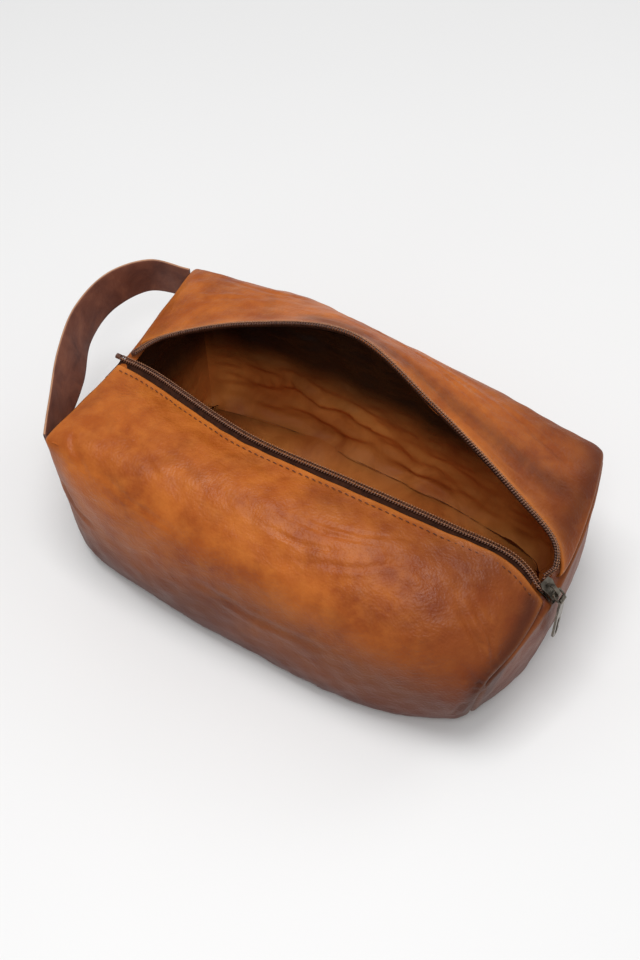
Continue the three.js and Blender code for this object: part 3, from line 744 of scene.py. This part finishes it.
def bead_row(name, path, up, radius, length, pitch, material, lean=0.0):
    """Short rounded stitches laid end to end along a path."""
    distance = np.concatenate([[0], np.cumsum(np.linalg.norm(np.diff(path, axis=0), axis=1))])
    points, faces = [], []
    sides, rings = 6, 6
    for start in np.arange(pitch / 2, distance[-1] - length, pitch):
        shares = np.linspace(start, start + length, rings)
        line = np.stack([np.interp(shares, distance, path[:, k]) for k in range(3)], 1)
        raised = unit(np.stack([np.interp(shares, distance, up[:, k]) for k in range(3)], 1))
        ahead = unit(np.gradient(line, axis=0))
        wide = unit(np.cross(ahead, raised))
        bow = np.sin(np.linspace(0, math.pi, rings))[:, None]
        line = line + raised * (bow * radius * 1.2 - radius * 0.7)
        line = line + wide * (np.linspace(-lean, lean, rings)[:, None])
        thick = 2 * radius * (0.45 + 0.55 * bow[:, 0])
        tube = np.stack([line + wide * (math.cos(a) * thick / 2)[:, None]
                         + raised * (math.sin(a) * thick / 2)[:, None]
                         for a in np.linspace(0, 2 * math.pi, sides, endpoint=False)], 1)
        base = len(points) * rings * sides
        points.append(tube.reshape(-1, 3))
        faces.extend([[base + i for i in f] for f in capped(rings, sides)])
    return new_mesh(name, np.concatenate(points), faces, [material])


def tape_object(name, stations, side, end):
    """Zip tape from under the leather to the coil, with a slight rise at its beaded edge."""
    us = np.linspace(0.002, end + 0.012, 190)
    vs = np.linspace(RIM - 0.055, 1.0, 9)
    grid = loft(stations, us, vs)
    out = normals(grid, side)
    past_rim = smooth(0.3, 1.0, (vs - RIM) / (1 - RIM))[None, :]
    sink = TAPE_SINK * (1 - 0.55 * past_rim)
    ripple = 0.12 * np.sin(run(grid, 0) / 3.1) * past_rim
    grid = grid - out * (sink + ripple)[..., None]
    obj = sheet_object(name, grid, side, TAPE)
    thick = obj.modifiers.new("thickness", "SOLIDIFY")
    thick.thickness = TAPE_THICKNESS * MM
    thick.offset = -1
    return obj


def stitch_path(stations, side):
    """The line of top stitches, a fixed distance below the zip edge, on the leather."""
    us = np.linspace(0.03, 0.955, 240)
    vs = np.linspace(RIM - 0.09, RIM, 30)
    grid = loft(stations, us, vs)
    out = normals(grid, side)
    back = run(grid, 1)
    back = back[:, -1:] - back
    pick = np.argmin(np.abs(back - STITCH["from_rim"]), axis=1)
    rows = np.arange(len(us))
    return grid[rows, pick] + out[rows, pick] * 0.12, out[rows, pick]


def build_zip():
    """Both tapes with their coils and sewing, and the front's row of top stitches."""
    for word, stations, side in (("front", FRONT, 1), ("back", BACK, -1)):
        end = CHAIN_END[word]
        tape = tape_object(f"{word}_tape_cloth", stations, side, end)
        coil = coil_object(f"{word}_coil_winding", stations, side, end)
        line, up, _ = chain(stations, side, end, 500)
        wide = unit(np.cross(unit(np.gradient(line, axis=0)), up))
        top = line + up * (COIL["height"] / 2 - COIL_SEWING["sink"])
        off = COIL_SEWING["off_middle"]
        rows = [bead_row(f"{word}_coil_sewing_{row}", top + wide * shift, up,
                         COIL_SEWING["radius"], COIL_SEWING["length"], COIL["pitch"], SEWING)
                for row, shift in (("inner", -off), ("outer", off))]
        for obj, slot in ((tape, "zip_tape"), (coil, "zip_coil"), *((r, "zip_tape") for r in rows)):
            if word == "back":
                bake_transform(obj)
            else:
                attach(obj, "bag")
        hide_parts(f"{word}_zip_tape")
        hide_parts(f"{word}_zip_coil")
    path, out = stitch_path(FRONT, 1)
    stitches = bead_row("front_top_stitches", path, out, STITCH["radius"], STITCH["length"],
                        STITCH["pitch"], THREAD, 0.12)
    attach(stitches, "bag")


def build_metal():
    """The CAD zip hardware keeps its shape; it gets its finish and small bevels."""
    finishes = dict.fromkeys(("slider_body", "slider_crown", "pull_ring", "pull_tab",
                              "zip_bottom_stop"), GUNMETAL)
    finishes.update(front_top_stop=NYLON, back_top_stop=NYLON)
    for name, finish in finishes.items():
        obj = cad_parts[name]
        obj.data.materials.clear()
        obj.data.materials.append(finish)
        bevel = obj.modifiers.new("bevel", "BEVEL")
        bevel.width = BEVEL * MM
        bevel.segments = 2
        bevel.limit_method = "ANGLE"
        obj.modifiers.new("normals", "WEIGHTED_NORMAL")


# ---- handle ----------------------------------------------------------------------------------
def build_handle():
    """One continuous strap, its ends sewn into the bag's corners."""
    shares = np.linspace(0, 1, 150)
    top, bottom = curve(STRAP_TOP, shares), curve(STRAP_BOTTOM, shares)
    middle, up = (top + bottom) / 2, unit(top - bottom)
    ahead = unit(np.gradient(middle, axis=0))
    wide = unit(np.cross(ahead, up))
    height = np.linalg.norm(top - bottom, axis=1)
    sag = 0.25 * undulation(middle, 40, 91)
    middle = middle + wide * sag[:, None]
    sides = 28
    angles = np.linspace(0, 2 * math.pi, sides, endpoint=False) + math.pi / sides
    squareness = {"across": 0.32, "lift": 0.75}  # under 1 squares the section off
    across = np.sign(np.cos(angles)) * np.abs(np.cos(angles)) ** squareness["across"]
    lift = np.sign(np.sin(angles)) * np.abs(np.sin(angles)) ** squareness["lift"]
    points = (middle[:, None] + (across * STRAP_THICKNESS / 2)[None, :, None] * wide[:, None]
              + (lift[None, :] * height[:, None] / 2)[..., None] * up[:, None])
    obj = new_mesh("handle_leather", points.reshape(-1, 3), capped(len(shares), sides),
                   [STRAP_LEATHER, STRAP_EDGE])
    edge_angle = np.abs(np.sin(angles + math.pi / sides))  # near 1 on the raw cut edges
    for polygon in obj.data.polygons:
        if len(polygon.vertices) == 4 and edge_angle[polygon.vertices[0] % sides] > 0.985:
            polygon.material_index = 1
    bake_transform(obj)
    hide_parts("handle_strap", "handle_end_front", "handle_end_back")


# ---- stage -----------------------------------------------------------------------------------
FLOOR_REACH = 4000
FLOOR_DROP = 0.4  # the floor lies this far under the base
WORLD_LIGHT = 0.50
LIGHTS_LOOK_AT = (0, 0, 0.06)
# Soft square lights: name, place and side in metres, and power in watts.
LIGHTS = [
    ("key", (-0.04, -0.12, 1.28), 0.5, 8.2),
    ("gloss", (0.30, -0.60, 1.20), 0.3, 3.0),
    ("rim", (0.5, 1.0, 0.8), 0.6, 2.0),
]
CAMERA = {"azimuth": 31, "elevation": 54, "distance": 0.861, "target": (-0.0088, 0.0114, 0.050),
          "lens": 60, "sensor": 36}


def build_stage():
    """Pale floor, white surroundings and three soft lights."""
    corners = [(x * FLOOR_REACH, y * FLOOR_REACH, -FLOOR_DROP)
               for x, y in ((-1, -1), (1, -1), (1, 1), (-1, 1))]
    floor = new_mesh("floor", corners, [(0, 1, 2, 3)], [])
    s = Shader("floor", Specular_IOR_Level=0.1)
    s.set("Base Color", s.ramp(s.noise(2), (0.3, srgb(233, 233, 233)), (0.7, srgb(236, 236, 236))))
    s.surface.inputs["Roughness"].default_value = 0.9
    floor.data.materials.append(s.material)
    bpy.context.scene.view_settings.view_transform = "Standard"
    world = bpy.data.worlds.new("studio")
    bpy.context.scene.world = world
    world.use_nodes = True
    background = world.node_tree.nodes["Background"]
    background.inputs["Color"].default_value = (1, 1, 1, 1)
    background.inputs["Strength"].default_value = WORLD_LIGHT
    for name, place, size, power in LIGHTS:
        data = bpy.data.lights.new(name, "AREA")
        data.energy = power
        data.size = size
        lamp = bpy.data.objects.new(name, data)
        lamp.location = place
        lamp.rotation_mode = "QUATERNION"
        away = Vector(place) - Vector(LIGHTS_LOOK_AT)
        lamp.rotation_quaternion = away.to_track_quat("Z", "Y")
        bpy.context.scene.collection.objects.link(lamp)


def build_camera():
    """Camera at the viewing angle of the reference picture."""
    azimuth, elevation = math.radians(CAMERA["azimuth"]), math.radians(CAMERA["elevation"])
    back = Vector((math.sin(azimuth) * math.cos(elevation),
                   -math.cos(azimuth) * math.cos(elevation), math.sin(elevation)))
    data = bpy.data.cameras.new("camera")
    data.lens = CAMERA["lens"]
    data.sensor_width = CAMERA["sensor"]
    camera = bpy.data.objects.new("camera", data)
    camera.rotation_mode = "QUATERNION"
    camera.location = Vector(CAMERA["target"]) + back * CAMERA["distance"]
    camera.rotation_quaternion = back.to_track_quat("Z", "Y")
    bpy.context.scene.collection.objects.link(camera)
    bpy.context.scene.camera = camera


build_camera()
build_leather()
build_base()
build_lining()
build_zip()
build_metal()
build_handle()
build_stage()
